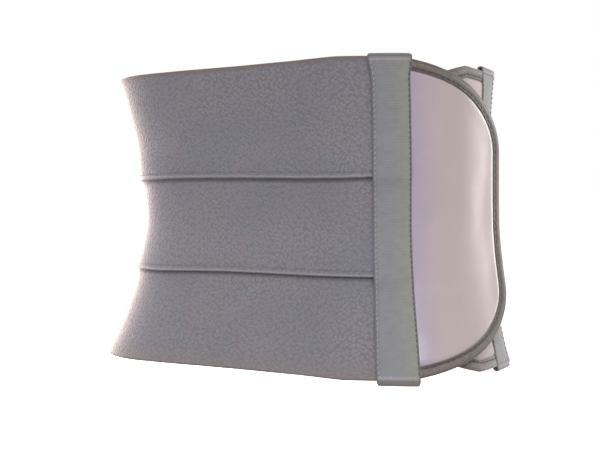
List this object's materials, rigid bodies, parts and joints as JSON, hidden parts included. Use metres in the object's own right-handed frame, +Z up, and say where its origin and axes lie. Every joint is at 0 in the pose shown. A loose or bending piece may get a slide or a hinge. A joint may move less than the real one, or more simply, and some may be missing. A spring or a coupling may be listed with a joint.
{
  "type": "abdominal binder",
  "caption": "Elastic abdominal binder in lapped panels, closed in its worn form: a bound satin flap laps over the other bound end beside a sewn woven tape.",
  "frame": {"origin": "middle of the waist hollow at half the binder's height", "axes": "+Z up the wearer's back, -Y the way the wearer faces, +X to the wearer's left, where the flap closes"},
  "size_m": [0.3417, 0.211, 0.2336],
  "materials": {
    "elastic_cloth": "woven grey elastic with a fine broken twill",
    "satin_cloth": "pale mauve satin face with a soft sheen",
    "binding_cloth": "folded grey-brown binding",
    "woven_tape": "grey woven tape with light stitching",
    "hook_pad": "moulded nylon hooks"
  },
  "bodies": {
    "root": {"elastic_panel_top": "elastic_cloth", "elastic_panel_middle": "elastic_cloth", "elastic_panel_bottom": "elastic_cloth", "closure_flap": "satin_cloth", "closure_flap_binding": "binding_cloth", "under_flap": "satin_cloth", "under_flap_binding": "binding_cloth", "front_tape": "woven_tape", "under_tape": "woven_tape", "hook_pad": "hook_pad"}
  },
  "joints": []
}
